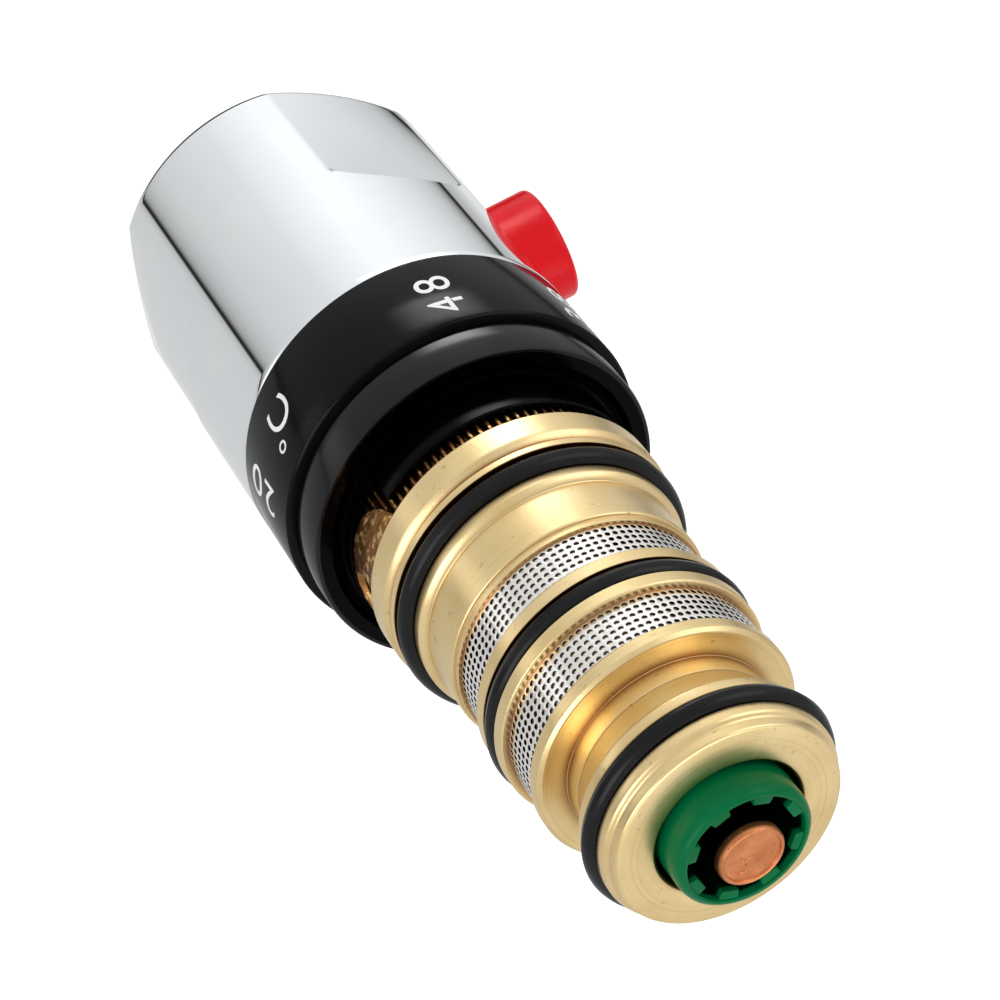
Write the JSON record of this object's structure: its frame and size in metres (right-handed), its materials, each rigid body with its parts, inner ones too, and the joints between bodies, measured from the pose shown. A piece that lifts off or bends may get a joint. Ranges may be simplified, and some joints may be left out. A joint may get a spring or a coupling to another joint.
{
  "type": "thermostatic mixing valve",
  "caption": "Thermostatic mixing valve: round chromed temperature handle with a numbered scale ring and push button on a turned brass cartridge with rubber rings and strainers.",
  "frame": {"origin": "centre of the handle's flat end face", "axes": "+Z along the valve's axis from the handle to the cartridge's mouth, -X towards the push button, -Y towards the middle of the temperature scale"},
  "size_m": [0.0579, 0.051, 0.1447],
  "materials": {
    "chrome": "polished",
    "black_plastic": "gloss",
    "red_plastic": "gloss",
    "grey_plastic": "matte",
    "green_plastic": "satin",
    "brass": "turned",
    "copper": "drawn",
    "stainless_steel": "bright",
    "rubber": "matte"
  },
  "bodies": {
    "cartridge": {"cartridge_body": "brass", "splined_gland": "brass", "stop_collar": "black_plastic", "o_ring_upper": "rubber", "o_ring_middle": "rubber", "o_ring_end": "rubber", "strainer_upper": "stainless_steel", "strainer_lower": "stainless_steel", "hot_seat": "stainless_steel", "end_cap": "brass", "green_insert": "green_plastic", "return_spring": "stainless_steel"},
    "handle": {"handle_shell": "chrome", "scale_ring": "black_plastic", "spline_insert": "grey_plastic", "button_spring": "stainless_steel", "spindle": "brass", "circlip": "stainless_steel", "spindle_seal_a": "rubber", "spindle_seal_b": "rubber"},
    "button": {"stop_button": "red_plastic"},
    "element": {"regulating_nut": "brass", "overload_cup": "brass", "overload_spring": "stainless_steel", "spring_plate": "stainless_steel", "piston_pin": "brass", "wax_element": "copper", "shuttle": "grey_plastic", "shuttle_seal": "rubber"}
  },
  "joints": [
    {"name": "handle_turn", "type": "hinge", "parent": "cartridge", "child": "handle", "pos_m": [0, 0, 0], "axis": [0, 0, 1], "range_deg": [-61, 212]},
    {"name": "button_press", "type": "slide", "parent": "handle", "child": "button", "axis": [0.9732, -0.23, 0], "range_m": [0, 0.0025], "stiffness_N_per_m": 800, "deforming": ["button_spring"]},
    {"name": "element_slide", "type": "slide", "parent": "cartridge", "child": "element", "axis": [0, 0, 1], "range_m": [-0.00035, 0.0012], "deforming": ["return_spring"]}
  ],
  "couplings": [
    {"joint": "element_slide", "follows": "handle_turn", "m_per_rad": 0.00031831}
  ]
}
